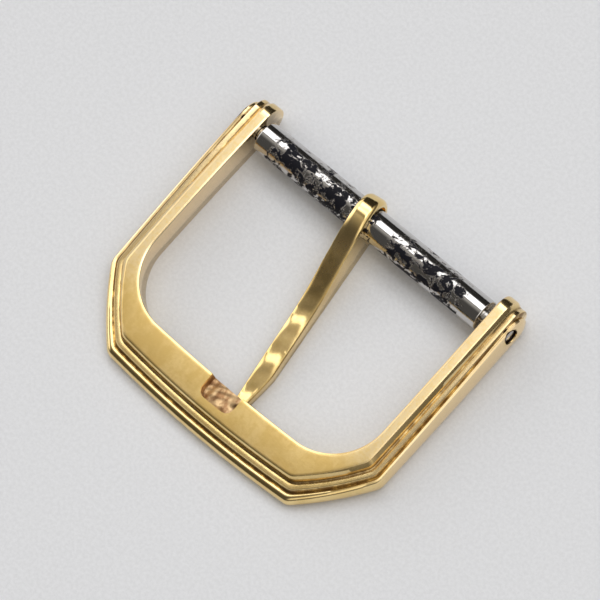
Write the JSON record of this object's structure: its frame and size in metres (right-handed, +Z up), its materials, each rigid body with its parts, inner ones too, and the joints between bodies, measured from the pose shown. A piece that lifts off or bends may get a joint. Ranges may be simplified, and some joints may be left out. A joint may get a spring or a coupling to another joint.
{
  "type": "watch strap tang buckle",
  "caption": "Tang buckle for a watch strap: stepped frame with cut corners, a tang that swings over it, and a sprung bar between its ears.",
  "frame": {"origin": "under the middle of the buckle, on the plane that it lies on", "axes": "+X along the spring bar, +Y from the crossbar to the spring bar, +Z up"},
  "size_m": [0.0194, 0.016, 0.0027],
  "materials": {
    "frame_gold": "gold plated brass, polished, with fine scratches and rubbed edges",
    "tang_gold": "gold plated brass, worn, with file marks on top",
    "bar_steel": "bright drawn steel with dark tarnish and pits",
    "pivot_steel": "turned steel, dull",
    "spring_steel": "drawn spring wire"
  },
  "bodies": {
    "frame": {"buckle_frame": "frame_gold"},
    "tang": {"tang": "tang_gold"},
    "spring_bar": {"spring_bar_tube": "bar_steel", "bar_spring": "spring_steel"},
    "left_pivot": {"left_pivot": "pivot_steel"},
    "right_pivot": {"right_pivot": "pivot_steel"}
  },
  "joints": [
    {"name": "tang_swing", "type": "hinge", "parent": "frame", "child": "tang", "pos_m": [0, 0.0063, 0.00136], "axis": [1, 0, 0], "range_deg": [0, 353.9]},
    {"name": "spring_bar_spin", "type": "hinge", "parent": "frame", "child": "spring_bar", "pos_m": [0, 0.0063, 0.00136], "axis": [1, 0, 0], "continuous": true},
    {"name": "left_pivot_slide", "type": "slide", "parent": "spring_bar", "child": "left_pivot", "axis": [1, 0, 0], "range_m": [0, 0.00156], "stiffness_N_per_m": 800, "springref_m": -0.001, "deforming": ["bar_spring"]},
    {"name": "right_pivot_slide", "type": "slide", "parent": "spring_bar", "child": "right_pivot", "axis": [-1, 0, 0], "range_m": [0, 0.00156], "stiffness_N_per_m": 800, "springref_m": -0.001, "deforming": ["bar_spring"]}
  ]
}
